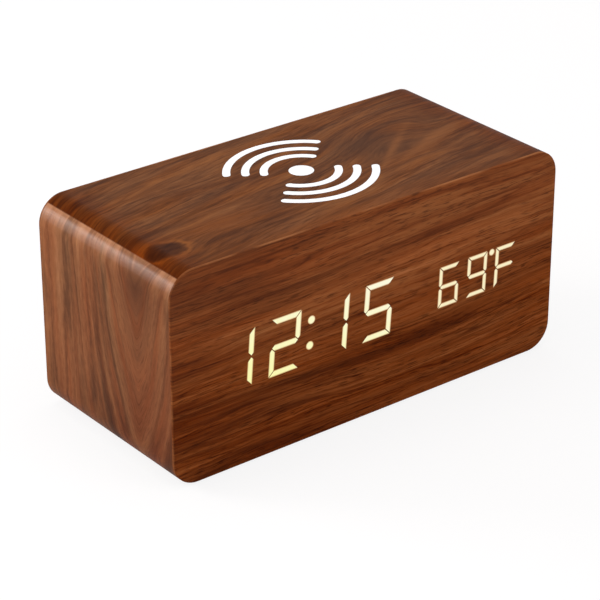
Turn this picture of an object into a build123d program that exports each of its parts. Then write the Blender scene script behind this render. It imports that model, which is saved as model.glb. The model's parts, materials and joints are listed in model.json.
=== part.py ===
from build123d import *
import os
from math import cos, dist, radians, sin, tan

# Case: a wood-faced sleeve with rounded long edges, closed by a panel at the front and the back
case_width = 150.0
case_height = 70.0
case_depth = 68.0
corner_radius = 8.7
wall = 5.0
facing = 0.8  # sheet of each panel that covers the sleeve's end
plug_depth = 5.0  # board behind that sheet, inside the sleeve
glue_gap = 0.1
edge_break = 0.3
foot_diameter = 10.0
foot_recess = 1.0
foot_stand = 0.5  # how far the feet hold the wood off the table
foot_edge = 0.25
foot_span_x = 116.0
foot_span_y = 44.0

# Display: slanted seven-segment digits, x from the clock's centre, rise from its mid-height
segment_gap = 0.2  # along each edge at the mitred corners
middle_gap = 0.35  # from the mid-height line to the tips of the upright bars
tip_share = 0.4  # of a bar's width from its outer edge to its tip
large_digit = {"width": 11.35, "height": 19.05, "stroke": 2.0, "rise": 0.3, "slant": 4.5}
small_digit = {"width": 8.25, "height": 14.0, "stroke": 1.48, "rise": 0.0, "slant": 2.4}
large_places = (-51.25, -33.85, -15.35, 2.05)
small_places = (30.66, 42.36, 54.06)
colon_x = -24.25
colon_dot = 2.8
colon_rises = (-3.2, 5.2)
degree_dot = 2.3
degree_x = 48.5
degree_rise = 6.0

# Parts behind the front panel
display_x = 1.0
reflector_width = 119.0
reflector_height = 24.0
reflector_depth = 7.0
reflector_pocket = 1.5
pocket_gap = 0.2
ear_width = 7.0
cell_flare = 1.5  # degrees that each light cell narrows towards its lamp
lamp_length = 1.2
lamp_width = 0.6
lamp_height = 0.6
board_thickness = 1.6
display_board_width = 133.0
display_board_height = 36.0
display_screw_span_x = 126.0
display_screw_span_z = 16.0
chip_x = 8.0
chip_length = 10.0
chip_width = 6.0
chip_height = 1.7
chip_stand = 0.2
pin_rows = 8
pin_pitch = 1.2
pin_width = 0.5
crystal_x = 22.0
crystal_diameter = 3.0
crystal_length = 8.0
crystal_edge = 0.4
buzzer_x = -40.0
buzzer_diameter = 12.0
buzzer_height = 8.5
buzzer_port = 2.4
buzzer_port_depth = 2.0

# Screws, all of one pattern
screw_diameter = 2.0
screw_head = 3.8
screw_head_height = 1.3
screw_clearance = 0.1
display_screw_length = 10.0
coil_screw_length = 4.0
board_screw_length = 5.6
switch_screw_length = 6.0
box_screw_length = 5.0
pilot_stop = 1.0  # wood left at the end of a pilot hole

# Charging coil under the top
coil_pocket_radius = 28.0
coil_pocket_depth = 3.0
coil_turns = 5
coil_inner_radius = 10.5
coil_strip_width = 1.5
coil_strip_height = 1.0
coil_pitch = 2.1
coil_tail_height = 0.9
coil_tail_drop = 1.35  # from the underside of the winding to the underside of the inner tail
coil_headroom = 0.2
coil_samples = 24  # points on each half turn where its gap is measured
outer_tail_x = 27.6
inner_tail_x = 25.3
ferrite_radius = 24.5
ferrite_thickness = 1.2
ferrite_slot = 2.4
ferrite_slot_start = 4.0
carrier_length = 72.0
carrier_width = 53.0
carrier_corner = 6.0
carrier_thickness = 1.5
carrier_step_radius = 26.5
carrier_step = 0.4
carrier_screw_span = 45.0
lead_hole_x = 26.2
lead_hole_length = 5.6
lead_hole_width = 3.6

# Charger board on the floor of the case
charger_x = -4.0
charger_y = -2.0
charger_length = 60.0
charger_width = 30.0
post_height = 5.0
post_diameter = 6.0  # across the corners of its six sides
post_sides = 6
post_span_x = 54.0
post_span_y = 24.0
charger_chip_place = (-2.0, 6.0)  # each place is from the board's centre
charger_chip_size = 6.0
charger_chip_height = 1.0
capacitor_place = (3.5, -9.0)
capacitor_count = 4
capacitor_length = 7.0
capacitor_width = 5.0
capacitor_height = 8.0
capacitor_pitch = 9.0
inductor_place = (-20.0, 2.0)
inductor_size = 12.0
inductor_height = 5.0
inductor_corner = 2.4
inductor_core = 9.0
inductor_crown = 1.0

# Wires and the flat cable between the boards
lead_diameter = 1.2
lead_sides = 6
coil_lead_bend = 6.0
power_lead_bend = 3.0
battery_lead_bend = 2.5
connector_width = 14.0
connector_height = 5.0
connector_depth = 5.0
cable_width = 12.0
cable_thickness = 0.8
cable_straight = 7.0
cable_slope = 6.0
cable_sag = 8.0
cable_bend = 4.0

# Rear control panel with three buttons and the power socket
control_x = 36.0
control_width = 56.0
control_height = 22.0
control_radius = 4.0
control_set_back = 0.2
control_flange = 1.6
control_body_width = 52.4
control_body_height = 18.4
control_body_radius = 2.5
control_wall = 1.0
dish_depth = 1.8
control_floor = 2.0
skirt_depth = 2.8
panel_gap = 0.2
barb_length = 14.0
barb_height = 0.9
barb_reach = 0.6
button_places = {"set": 18.5, "up": 7.0, "down": -4.5}
button_diameter = 7.0
button_clearance = 0.1
button_below_face = 0.4
button_edge = 0.6
collar_diameter = 9.0
collar_height = 1.0
button_travel = 0.5
plunger_diameter = 3.4
plunger_reach = 1.5  # of the plunger into the switch
switch_size = 6.0
switch_height = 3.4
switch_overtravel = 0.3
boss_diameter = 4.6
boss_span_x = 46.0
boss_span_z = 11.2
small_screw_diameter = 1.6
switch_board_width = 52.0
switch_board_height = 17.6
switch_board_gap = 5.2  # from the control floor's back to the board
usb_place = -17.5
usb_width = 7.4
usb_height = 2.8
usb_corner_cut = 0.9
usb_wall = 0.3
usb_proud = 0.6
usb_base_depth = 2.2
usb_tongue_width = 4.0
usb_tongue_height = 0.6
usb_tongue_length = 4.6
microphone_place = -11.0
microphone_diameter = 5.0
microphone_height = 2.2
sound_hole = 1.4
sensor_rise = 5.4
sensor_bead = 2.2
sensor_wire = 0.5
sensor_reach = 3.0
vent_length = 4.0
vent_width = 0.8
vent_pitch = 1.6

# Battery compartment for three AAA cells
battery_x = -28.0
cell_pitch = 11.4
bay_length = 50.0
bay_radius = 5.6  # round a cell of 10.5 mm diameter
bay_wall = 1.8  # straight side of the bay between the cradles and the ledge
box_width = 60.0
box_height = 42.0
box_radius = 1.5
box_set_back = 0.2
box_floor = 1.6
box_flange_width = 68.0
box_flange_height = 48.0
box_flange_thickness = 2.0
box_screw_span_x = 64.0
box_screw_span_z = 40.0
door_width = 57.0
door_height = 39.0
door_thickness = 2.0
door_gap = 0.2
door_set_back = 0.1
hinge_pin_diameter = 1.6
hinge_pin_length = 1.1
hinge_clearance = 0.05
latch_width = 11.6
latch_height = 0.9
thumb_width = 12.0
thumb_height = 5.0
thumb_depth = 0.5
contact_size = 7.6
contact_thickness = 0.4
spring_bow = 3.0

# Levels that follow from the sizes above
front_face = -case_depth / 2
rear_face = case_depth / 2
middle = foot_stand + case_height / 2
floor_top = foot_stand + wall
ceiling = foot_stand + case_height - wall
inner_width = case_width - 2 * wall
inner_height = case_height - 2 * wall
inner_radius = corner_radius - wall
plug_width = inner_width - 2 * glue_gap
plug_height = inner_height - 2 * glue_gap
front_inside = front_face + facing + plug_depth
rear_inside = rear_face - facing - plug_depth
reflector_front = front_inside - reflector_pocket
reflector_back = reflector_front + reflector_depth
display_back = reflector_back + board_thickness
control_face = rear_face - control_set_back
dish_floor = control_face - dish_depth
control_back = dish_floor - control_floor
skirt_end = control_back - skirt_depth
switch_board_rear = control_back - switch_board_gap
switch_board_front = switch_board_rear - board_thickness
switch_top = switch_board_rear + switch_height
collar_top = control_back - button_clearance
collar_bottom = collar_top - collar_height
switch_bore_depth = plunger_reach + button_travel + switch_overtravel
rim_face = rear_face - box_set_back
door_face = rim_face - door_set_back
door_inside = door_face - door_thickness
ledge = door_inside - door_set_back
cell_axis = ledge - bay_radius - bay_wall
box_back = cell_axis - bay_radius - box_floor
hinge_y = door_face - door_thickness / 2
hinge_rise = -door_height / 2 + door_thickness / 2
board_bottom = floor_top + post_height
board_top = board_bottom + board_thickness
coil_top = ceiling + coil_pocket_depth - coil_headroom
coil_bottom = coil_top - coil_strip_height
tail_bottom = coil_bottom - coil_tail_drop
carrier_bottom = ceiling - carrier_thickness
ferrite_bottom = ceiling + carrier_step

os.makedirs("parts", exist_ok=True)


def upright(depth, across=0.0, rise=0.0):
    # A vertical sketch plane at the given Y that faces the front, centred on the case or off it
    return Plane(origin=(across, depth, middle + rise), x_dir=(1, 0, 0), z_dir=(0, -1, 0))


def endways(x, y, z):
    # A vertical sketch plane that faces +X, with Y and Z as its axes
    return Plane(origin=(x, y, z), x_dir=(0, 1, 0), z_dir=(1, 0, 0))


def save(piece, name):
    piece.part.label = name
    export_step(piece.part, f"parts/{name}.step")


def mirrored(outline, flip_x, flip_z):
    return [(flip_x * x, flip_z * z) for x, z in outline]


def segment_outlines(size):
    # The seven bars of one upright digit, mitred at the corners and pointed at mid-height
    half = size["width"] / 2
    top = size["height"] / 2
    bar = size["stroke"]
    inner = half - bar
    gap = segment_gap
    tip = half - tip_share * bar
    top_bar = [(gap - half, top), (half - gap, top), (inner - gap, top - bar), (gap - inner, top - bar)]
    side_bar = [
        (half, top - gap),
        (half, middle_gap + half - tip),
        (tip, middle_gap),
        (inner, middle_gap + tip - inner),
        (inner, top - bar - gap),
    ]
    end = tip + middle_gap - 2 * gap
    right_half = [(end - bar / 2, bar / 2), (end, 0), (end - bar / 2, -bar / 2)]
    return {
        "a": top_bar,
        "b": side_bar,
        "c": mirrored(side_bar, 1, -1),
        "d": mirrored(top_bar, 1, -1),
        "e": mirrored(side_bar, -1, -1),
        "f": mirrored(side_bar, -1, 1),
        "g": right_half + mirrored(right_half, -1, -1),
    }


def lean(size):
    return tan(radians(size["slant"]))


def place_outline(outline, x, size):
    return [(x + across + up * lean(size), size["rise"] + up) for across, up in outline]


# Digits from left to right, each with the segments that are lit at a quarter past twelve and 69 degrees
shown_digits = list(zip(large_places, [large_digit] * 4, ("bc", "abdeg", "bc", "acdfg")))
shown_digits += list(zip(small_places, [small_digit] * 3, ("acdefg", "abcdfg", "aefg")))
dots = [(colon_x + rise * lean(large_digit), rise, colon_dot) for rise in colon_rises]
dots.append((degree_x, degree_rise, degree_dot))

lit_outlines = []
unlit_outlines = []
lamp_places = []
for digit_x, digit, lit_letters in shown_digits:
    for letter, outline in segment_outlines(digit).items():
        placed = place_outline(outline, digit_x, digit)
        centre_x = sum(x for x, _ in placed) / len(placed)
        centre_z = sum(z for _, z in placed) / len(placed)
        lamp_places.append((centre_x, centre_z, 0 if letter in "adg" else 90))
        if letter in lit_letters:
            lit_outlines.append(placed)
        else:
            unlit_outlines.append(placed)
all_outlines = lit_outlines + unlit_outlines


def draw_windows(outlines, round_windows):
    for corners in outlines:
        Polygon(*corners)
    for x, z, diameter in round_windows:
        with Locations((x, z)):
            Circle(diameter / 2)


def add_screws(plane, places, head_amount, shank_amount, diameter=screw_diameter):
    # Pan-head screws on a plane: the signs of the two amounts say which way each end goes
    with BuildSketch(plane) as heads:
        with Locations(*places):
            Circle(diameter * screw_head / screw_diameter / 2)
    extrude(heads.sketch, amount=head_amount)
    with BuildSketch(plane) as shanks:
        with Locations(*places):
            Circle(diameter / 2)
    extrude(shanks.sketch, amount=shank_amount)


def add_lead(points, bend_radius):
    # An insulated wire of six flats along straight runs joined by tangent arcs
    with BuildLine() as route:
        FilletPolyline(*points, radius=bend_radius)
    with BuildSketch(Plane(origin=route.line @ 0, z_dir=route.line % 0)) as section:
        RegularPolygon(lead_diameter / 2, lead_sides)
    sweep(section.sketch, path=route.line)


def corner_places(span_x, span_y, x=0.0, y=0.0):
    return [(x + sx * span_x / 2, y + sy * span_y / 2) for sx in (-1, 1) for sy in (-1, 1)]


def opposite_corners(span_x, span_y, x=0.0, y=0.0):
    # Two screws hold each board: at the lower left and the upper right of a rectangle
    return [(x + side * span_x / 2, y + side * span_y / 2) for side in (-1, 1)]


def on_charger(place):
    return (charger_x + place[0], charger_y + place[1])


carrier_screw_places = opposite_corners(carrier_screw_span, carrier_screw_span)
display_screw_places = opposite_corners(display_screw_span_x, display_screw_span_z, display_x)
box_screw_places = opposite_corners(box_screw_span_x, box_screw_span_z)
boss_places = opposite_corners(boss_span_x, boss_span_z)
charger_screw_places = opposite_corners(post_span_x, post_span_y, charger_x, charger_y)
post_places = corner_places(post_span_x, post_span_y, charger_x, charger_y)
pilot_radius = screw_diameter / 2 + screw_clearance / 2

# Sleeve: top, ends and bottom of the case in one tube along Y
with BuildPart() as case_sleeve:
    with BuildSketch(upright(front_face + facing)):
        RectangleRounded(case_width, case_height, corner_radius)
        RectangleRounded(inner_width, inner_height, inner_radius, mode=Mode.SUBTRACT)
    extrude(amount=-(case_depth - 2 * facing))
    with BuildSketch(Plane.XY.offset(ceiling)):
        Circle(coil_pocket_radius)
    extrude(amount=coil_pocket_depth, mode=Mode.SUBTRACT)
    with BuildSketch(Plane.XY.offset(ceiling)):
        with Locations(*carrier_screw_places):
            Circle(pilot_radius)
    extrude(amount=coil_pocket_depth, mode=Mode.SUBTRACT)
    with BuildSketch(Plane.XY.offset(foot_stand)):
        with GridLocations(foot_span_x, foot_span_y, 2, 2):
            Circle(foot_diameter / 2)
    extrude(amount=foot_recess, mode=Mode.SUBTRACT)
save(case_sleeve, "case_sleeve")

# Front panel: the sheet that shows, the board inside the sleeve and a slot for every segment
with BuildPart() as front_panel:
    with BuildSketch(upright(front_face)):
        RectangleRounded(case_width, case_height, corner_radius)
    extrude(amount=-facing)
    chamfer(front_panel.faces().sort_by(Axis.Y)[0].edges(), length=edge_break)
    with BuildSketch(upright(front_face + facing)):
        RectangleRounded(plug_width, plug_height, inner_radius)
    extrude(amount=-plug_depth)
    with BuildSketch(upright(front_inside)):
        with Locations((display_x, 0)):
            Rectangle(reflector_width + 2 * pocket_gap, reflector_height + 2 * pocket_gap)
    extrude(amount=reflector_pocket, mode=Mode.SUBTRACT)
    with BuildSketch(upright(front_inside)):
        with Locations(*display_screw_places):
            Circle(pilot_radius)
    extrude(amount=plug_depth - pilot_stop, mode=Mode.SUBTRACT)
    with BuildSketch(upright(front_face)):
        draw_windows(all_outlines, dots)
    extrude(amount=-(facing + plug_depth), mode=Mode.SUBTRACT)
save(front_panel, "front_panel")

# Segment windows: translucent bars that fill the slots flush with the front
window_depth = reflector_front - front_face
with BuildPart() as lit_segments:
    with BuildSketch(upright(front_face)):
        draw_windows(lit_outlines, dots)
    extrude(amount=-window_depth)
save(lit_segments, "lit_segments")

with BuildPart() as unlit_segments:
    with BuildSketch(upright(front_face)):
        draw_windows(unlit_outlines, [])
    extrude(amount=-window_depth)
save(unlit_segments, "unlit_segments")

# Reflector: a white block with one light cell behind each window, wider towards the front
with BuildPart() as digit_reflector:
    with BuildSketch(upright(reflector_front)):
        with Locations((display_x, 0)):
            Rectangle(reflector_width, reflector_height)
    extrude(amount=-reflector_depth)
    with BuildSketch(upright(front_inside)):
        with Locations((display_x, 0)):
            Rectangle(reflector_width + 2 * ear_width, reflector_height)
    extrude(amount=-(reflector_back - front_inside))
    with BuildSketch(upright(reflector_front)):
        draw_windows(all_outlines, dots)
    extrude(amount=-reflector_depth, taper=cell_flare, mode=Mode.SUBTRACT)
    with BuildSketch(upright(reflector_back)):
        with Locations(*display_screw_places):
            Circle(pilot_radius)
    extrude(amount=reflector_depth, mode=Mode.SUBTRACT)
save(digit_reflector, "digit_reflector")

# Display board with one lamp in each light cell
with BuildPart() as display_board:
    with BuildSketch(upright(reflector_back)):
        with Locations((display_x, 0)):
            Rectangle(display_board_width, display_board_height)
        with Locations(*display_screw_places):
            Circle(pilot_radius, mode=Mode.SUBTRACT)
    extrude(amount=-board_thickness)
save(display_board, "display_board")

with BuildPart() as led_chips:
    with BuildSketch(upright(reflector_back)):
        for lamp_x, lamp_z, turn in lamp_places:
            with Locations((lamp_x, lamp_z)):
                Rectangle(lamp_length, lamp_width, rotation=turn)
        for dot_x, dot_z, _ in dots:
            with Locations((dot_x, dot_z)):
                Rectangle(lamp_length, lamp_width)
    extrude(amount=lamp_height)
save(led_chips, "led_chips")

with BuildPart() as display_screws:
    add_screws(upright(display_back), display_screw_places, -screw_head_height, display_screw_length)
save(display_screws, "display_screws")

# Clock chip with two rows of pins, crystal and alarm buzzer on the back of the display board
with BuildPart() as clock_chip:
    with BuildSketch(upright(display_back + chip_stand, chip_x)):
        Rectangle(chip_length, chip_width)
    extrude(amount=-chip_height)
    with BuildSketch(upright(display_back, chip_x)):
        with GridLocations(pin_pitch, chip_width + pin_width, pin_rows, 2):
            Rectangle(pin_width, 2 * pin_width)
    extrude(amount=-chip_height / 2)
save(clock_chip, "clock_chip")

crystal_low_end = (crystal_x, display_back + crystal_diameter / 2, middle - crystal_length / 2)
with BuildPart() as crystal:
    with BuildSketch(Plane(origin=crystal_low_end, z_dir=(0, 0, 1))):
        Circle(crystal_diameter / 2)
    extrude(amount=crystal_length)
    chamfer(crystal.edges().group_by(Axis.Z)[-1], length=crystal_edge)
save(crystal, "crystal")

with BuildPart() as alarm_buzzer:
    with BuildSketch(upright(display_back, buzzer_x)):
        Circle(buzzer_diameter / 2)
    extrude(amount=-buzzer_height)
    with BuildSketch(upright(display_back + buzzer_height, buzzer_x)):
        Circle(buzzer_port / 2)
    extrude(amount=buzzer_port_depth, mode=Mode.SUBTRACT)
save(alarm_buzzer, "alarm_buzzer")

# Carrier, shield and winding of the charging coil, in a pocket under the top
with BuildPart() as coil_carrier:
    with BuildSketch(Plane.XY.offset(carrier_bottom)):
        RectangleRounded(carrier_length, carrier_width, carrier_corner)
        with Locations(*carrier_screw_places):
            Circle(pilot_radius, mode=Mode.SUBTRACT)
    extrude(amount=carrier_thickness)
    with BuildSketch(Plane.XY.offset(ceiling)):
        Circle(carrier_step_radius)
    extrude(amount=carrier_step)
    with BuildSketch(Plane.XY.offset(carrier_bottom)):
        with Locations((lead_hole_x, 0)):
            Rectangle(lead_hole_length, lead_hole_width)
    extrude(amount=carrier_thickness + carrier_step, mode=Mode.SUBTRACT)
save(coil_carrier, "coil_carrier")

with BuildPart() as ferrite_plate:
    with BuildSketch(Plane.XY.offset(ferrite_bottom)):
        Circle(ferrite_radius)
        with Locations((ferrite_slot_start + ferrite_radius / 2, -coil_strip_width / 2)):
            Rectangle(ferrite_radius, ferrite_slot, mode=Mode.SUBTRACT)
    extrude(amount=ferrite_thickness)
save(ferrite_plate, "ferrite_plate")

# Winding: half-turn arcs about two centres half a pitch apart, so the strip spirals out evenly
half_turn_step = coil_pitch / 2
half_turns = [
    ((half_turn_step * (turn % 2), 0), coil_inner_radius + half_turn_step * turn, 180 * (turn % 2))
    for turn in range(2 * coil_turns)
]
coil_end_radius = coil_inner_radius + coil_pitch * coil_turns
half_strip = coil_strip_width / 2
with BuildPart() as charging_coil:
    with BuildSketch(Plane.XY.offset(coil_bottom)):
        with BuildLine():
            for centre, radius, start in half_turns:
                CenterArc(centre, radius + half_strip, start, 180)
                CenterArc(centre, radius - half_strip, start, 180)
            Line((coil_inner_radius - half_strip, 0), (coil_inner_radius + half_strip, 0))
            Line((coil_end_radius - half_strip, 0), (coil_end_radius + half_strip, 0))
        make_face()
        with Locations(((coil_end_radius - half_strip + outer_tail_x) / 2, half_strip)):
            Rectangle(outer_tail_x - coil_end_radius + half_strip, coil_strip_width)
    extrude(amount=coil_strip_height)
    with BuildSketch(Plane.XY.offset(tail_bottom)):
        with Locations(((coil_inner_radius - half_strip + inner_tail_x) / 2, -half_strip)):
            Rectangle(inner_tail_x - coil_inner_radius + half_strip, coil_strip_width)
    extrude(amount=coil_tail_height)
    with BuildSketch(Plane.XY.offset(tail_bottom)):
        with Locations((coil_inner_radius, -half_strip)):
            Rectangle(coil_strip_width, coil_strip_width)
    extrude(amount=coil_top - tail_bottom)
save(charging_coil, "charging_coil")

# Least gap of the winding to itself, from points along its centre line at least half a turn apart
centre_line = []
for (centre_x, centre_y), radius, start in half_turns:
    for step in range(coil_samples):
        angle = radians(start + 180 * step / coil_samples)
        centre_line.append((centre_x + radius * cos(angle), centre_y + radius * sin(angle)))
turn_gap = min(
    dist(point, other) - coil_strip_width
    for index, point in enumerate(centre_line)
    for other in centre_line[index + coil_samples :]
)
tail_gap = coil_tail_drop - coil_tail_height
print(f"charging coil: least gap between turns {turn_gap:.2f} mm, over the inner tail {tail_gap:.2f} mm")

with BuildPart() as coil_screws:
    add_screws(Plane.XY.offset(carrier_bottom), carrier_screw_places, -screw_head_height, coil_screw_length)
save(coil_screws, "coil_screws")

# Charger board on four six-sided posts, two of them bored for screws, with its chip, capacitors and inductor
with BuildPart() as charger_board:
    with BuildSketch(Plane.XY.offset(board_bottom)):
        with Locations((charger_x, charger_y)):
            Rectangle(charger_length, charger_width)
        with Locations(*charger_screw_places):
            Circle(pilot_radius, mode=Mode.SUBTRACT)
    extrude(amount=board_thickness)
save(charger_board, "charger_board")

with BuildPart() as board_posts:
    with BuildSketch(Plane.XY.offset(floor_top)):
        with Locations(*post_places):
            RegularPolygon(post_diameter / 2, post_sides)
        with Locations(*charger_screw_places):
            Circle(pilot_radius, mode=Mode.SUBTRACT)
    extrude(amount=post_height)
save(board_posts, "board_posts")

with BuildPart() as board_screws:
    add_screws(Plane.XY.offset(board_top), charger_screw_places, screw_head_height, -board_screw_length)
save(board_screws, "board_screws")

with BuildPart() as charger_chip:
    with BuildSketch(Plane.XY.offset(board_top)):
        with Locations(on_charger(charger_chip_place)):
            Rectangle(charger_chip_size, charger_chip_size)
    extrude(amount=charger_chip_height)
save(charger_chip, "charger_chip")

with BuildPart() as charger_capacitors:
    with BuildSketch(Plane.XY.offset(board_top)):
        with Locations(on_charger(capacitor_place)):
            with GridLocations(capacitor_pitch, 0, capacitor_count, 1):
                Rectangle(capacitor_length, capacitor_width)
    extrude(amount=capacitor_height)
save(charger_capacitors, "charger_capacitors")

with BuildPart() as charger_inductor:
    with BuildSketch(Plane.XY.offset(board_top)):
        with Locations(on_charger(inductor_place)):
            RectangleRounded(inductor_size, inductor_size, inductor_corner)
    extrude(amount=inductor_height)
    with BuildSketch(Plane.XY.offset(board_top + inductor_height)):
        with Locations(on_charger(inductor_place)):
            Circle(inductor_core / 2)
    extrude(amount=inductor_crown)
save(charger_inductor, "charger_inductor")

outer_lead = [
    (27.0, half_strip, coil_bottom),
    (27.0, half_strip, 48.0),
    (19.0, -1.0, 26.0),
    (19.0, -1.0, board_top),
]
inner_lead = [
    (24.7, -half_strip, tail_bottom),
    (24.7, -half_strip, 50.0),
    (14.0, -4.5, 28.0),
    (14.0, -4.5, board_top),
]
with BuildPart() as coil_leads:
    add_lead(outer_lead, coil_lead_bend)
    add_lead(inner_lead, coil_lead_bend)
save(coil_leads, "coil_leads")

# Rear panel with the openings for the control panel and the battery box
with BuildPart() as rear_panel:
    with BuildSketch(upright(rear_face - facing)):
        RectangleRounded(case_width, case_height, corner_radius)
    extrude(amount=-facing)
    chamfer(rear_panel.faces().sort_by(Axis.Y)[-1].edges(), length=edge_break)
    with BuildSketch(upright(rear_inside)):
        RectangleRounded(plug_width, plug_height, inner_radius)
    extrude(amount=-plug_depth)
    with BuildSketch(upright(rear_face, control_x)):
        RectangleRounded(control_width + 2 * panel_gap, control_height + 2 * panel_gap, control_radius)
    extrude(amount=control_set_back + control_flange, mode=Mode.SUBTRACT)
    with BuildSketch(upright(rear_face, control_x)):
        RectangleRounded(
            control_body_width + 2 * panel_gap, control_body_height + 2 * panel_gap, control_body_radius
        )
    extrude(amount=facing + plug_depth, mode=Mode.SUBTRACT)
    with BuildSketch(upright(rear_face, battery_x)):
        RectangleRounded(box_width + 2 * panel_gap, box_height + 2 * panel_gap, box_radius)
    extrude(amount=facing + plug_depth, mode=Mode.SUBTRACT)
    with BuildSketch(upright(rear_inside, battery_x)):
        with Locations(*box_screw_places):
            Circle(pilot_radius)
    extrude(amount=-(plug_depth - pilot_stop), mode=Mode.SUBTRACT)
save(rear_panel, "rear_panel")

with BuildPart() as rubber_feet:
    with BuildSketch():
        with GridLocations(foot_span_x, foot_span_y, 2, 2):
            Circle(foot_diameter / 2 - glue_gap)
    extrude(amount=foot_stand + foot_recess)
    chamfer(rubber_feet.edges().group_by(Axis.Z)[0], length=foot_edge)
save(rubber_feet, "rubber_feet")

# Control panel: a flanged dish with a skirt, screw bosses and two snap barbs
usb_outline = [
    (-usb_width / 2, usb_height / 2),
    (usb_width / 2, usb_height / 2),
    (usb_width / 2, usb_corner_cut - usb_height / 2),
    (usb_width / 2 - usb_corner_cut, -usb_height / 2),
    (usb_corner_cut - usb_width / 2, -usb_height / 2),
    (-usb_width / 2, usb_corner_cut - usb_height / 2),
]
skirt_width = control_body_width - 2 * control_wall
skirt_height = control_body_height - 2 * control_wall
skirt_radius = control_body_radius - control_wall
with BuildPart() as control_panel:
    with BuildSketch(upright(control_face, control_x)):
        RectangleRounded(control_width, control_height, control_radius)
    extrude(amount=control_flange)
    with BuildSketch(upright(control_face - control_flange, control_x)):
        RectangleRounded(control_body_width, control_body_height, control_body_radius)
    extrude(amount=control_face - control_flange - skirt_end)
    with BuildSketch(upright(control_face, control_x)):
        RectangleRounded(skirt_width, skirt_height, skirt_radius)
    extrude(amount=dish_depth, mode=Mode.SUBTRACT)
    with BuildSketch(upright(control_back, control_x)):
        RectangleRounded(skirt_width, skirt_height, skirt_radius)
    extrude(amount=skirt_depth, mode=Mode.SUBTRACT)
    with BuildSketch(upright(control_back, control_x)):
        with Locations(*boss_places):
            Circle(boss_diameter / 2)
    extrude(amount=switch_board_gap)
    with BuildSketch(upright(switch_board_rear, control_x)):
        with Locations(*boss_places):
            Circle(small_screw_diameter / 2 + screw_clearance / 2)
    extrude(amount=-switch_board_gap, mode=Mode.SUBTRACT)
    with BuildSketch(upright(skirt_end + barb_height, control_x)):
        Rectangle(barb_length, control_body_height + 2 * barb_reach)
        Rectangle(barb_length, skirt_height, mode=Mode.SUBTRACT)
    extrude(amount=barb_height)
    with BuildSketch(upright(dish_floor, control_x)):
        for place in button_places.values():
            with Locations((place, 0)):
                Circle(button_diameter / 2 + button_clearance)
        with Locations((usb_place, 0)):
            Rectangle(usb_width + 2 * panel_gap, usb_height + 2 * panel_gap)
        with Locations((microphone_place, 0)):
            Circle(sound_hole / 2)
        with Locations((microphone_place, sensor_rise)):
            with GridLocations(0, vent_pitch, 1, 3):
                Rectangle(vent_length, vent_width)
    extrude(amount=control_floor, mode=Mode.SUBTRACT)
save(control_panel, "control_panel")


def make_button(place):
    # A cap with a broken edge and a collar that keeps it behind the panel
    with BuildPart() as button:
        with BuildSketch(upright(control_face - button_below_face, control_x + place)):
            Circle(button_diameter / 2)
        extrude(amount=control_face - button_below_face - collar_top)
        chamfer(button.edges().group_by(Axis.Y)[-1], length=button_edge)
        with BuildSketch(upright(collar_top, control_x + place)):
            Circle(collar_diameter / 2)
        extrude(amount=collar_height)
    return button


def make_plunger(place):
    with BuildPart() as plunger:
        with BuildSketch(upright(collar_bottom, control_x + place)):
            Circle(plunger_diameter / 2)
        extrude(amount=collar_bottom - switch_top + plunger_reach)
    return plunger


for button_name, button_place in button_places.items():
    save(make_button(button_place), f"{button_name}_button")
    save(make_plunger(button_place), f"{button_name}_plunger")

with BuildPart() as tact_switches:
    with BuildSketch(upright(switch_board_rear, control_x)):
        for place in button_places.values():
            with Locations((place, 0)):
                Rectangle(switch_size, switch_size)
    extrude(amount=-switch_height)
    with BuildSketch(upright(switch_top, control_x)):
        for place in button_places.values():
            with Locations((place, 0)):
                Circle(plunger_diameter / 2 + button_clearance)
    extrude(amount=switch_bore_depth, mode=Mode.SUBTRACT)
save(tact_switches, "tact_switches")

with BuildPart() as switch_board:
    with BuildSketch(upright(switch_board_rear, control_x)):
        Rectangle(switch_board_width, switch_board_height)
        with Locations(*boss_places):
            Circle(small_screw_diameter / 2 + screw_clearance / 2, mode=Mode.SUBTRACT)
    extrude(amount=board_thickness)
save(switch_board, "switch_board")

with BuildPart() as switch_screws:
    switch_screw_seat = upright(switch_board_front, control_x)
    add_screws(switch_screw_seat, boss_places, screw_head_height, -switch_screw_length, small_screw_diameter)
save(switch_screws, "switch_screws")

# Power socket: a folded steel shell round a plastic base and its contact tongue
with BuildPart() as usb_shell:
    with BuildSketch(upright(switch_board_rear, control_x + usb_place)):
        Polygon(*usb_outline)
        offset(amount=-usb_wall, mode=Mode.SUBTRACT)
    extrude(amount=-(dish_floor + usb_proud - switch_board_rear))
save(usb_shell, "usb_shell")

with BuildPart() as usb_tongue:
    with BuildSketch(upright(switch_board_rear, control_x + usb_place)):
        Polygon(*usb_outline)
        offset(amount=-(usb_wall + screw_clearance / 2), mode=Mode.REPLACE)
    extrude(amount=-usb_base_depth)
    with BuildSketch(upright(switch_board_rear + usb_base_depth, control_x + usb_place)):
        Rectangle(usb_tongue_width, usb_tongue_height)
    extrude(amount=-usb_tongue_length)
save(usb_tongue, "usb_tongue")

with BuildPart() as microphone:
    with BuildSketch(upright(switch_board_rear, control_x + microphone_place)):
        Circle(microphone_diameter / 2)
    extrude(amount=-microphone_height)
    with BuildSketch(upright(switch_board_rear + microphone_height, control_x + microphone_place)):
        Circle(sound_hole / 2)
    extrude(amount=microphone_height / 4, mode=Mode.SUBTRACT)
save(microphone, "microphone")

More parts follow.
